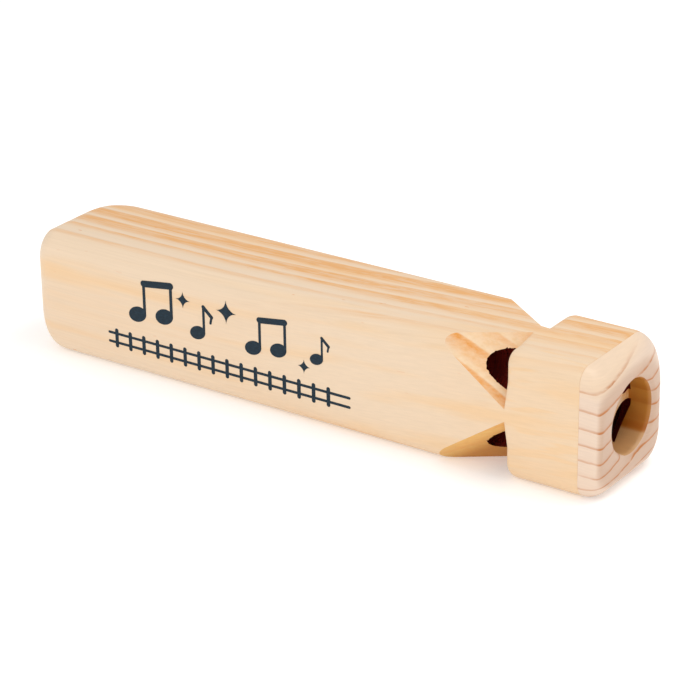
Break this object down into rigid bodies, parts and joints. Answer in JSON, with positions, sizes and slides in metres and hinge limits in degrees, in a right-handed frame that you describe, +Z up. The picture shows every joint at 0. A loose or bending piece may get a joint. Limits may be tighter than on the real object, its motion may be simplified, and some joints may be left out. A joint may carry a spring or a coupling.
{
  "type": "train whistle",
  "caption": "Wooden block whistle with rounded edges, a mouth hole in the glued front cap and sounding notches across the long edges that open into drilled chambers.",
  "frame": {"origin": "middle of the rest face, below the middle of the whistle's length", "axes": "+X along the whistle towards the mouth hole, -Y towards the printed side, +Z up from the rest face"},
  "size_m": [0.178, 0.033, 0.035],
  "materials": {
    "pine_block": "clear satin lacquer, grain along X",
    "pine_cap": "clear satin lacquer, end grain to the front",
    "dowel": "bare"
  },
  "bodies": {
    "root": {"body_block": "pine_block", "mouthpiece_cap": "pine_cap", "fipple_plug_upper_left": "dowel", "fipple_plug_upper_right": "dowel", "fipple_plug_lower_left": "dowel", "fipple_plug_lower_right": "dowel"}
  },
  "joints": []
}
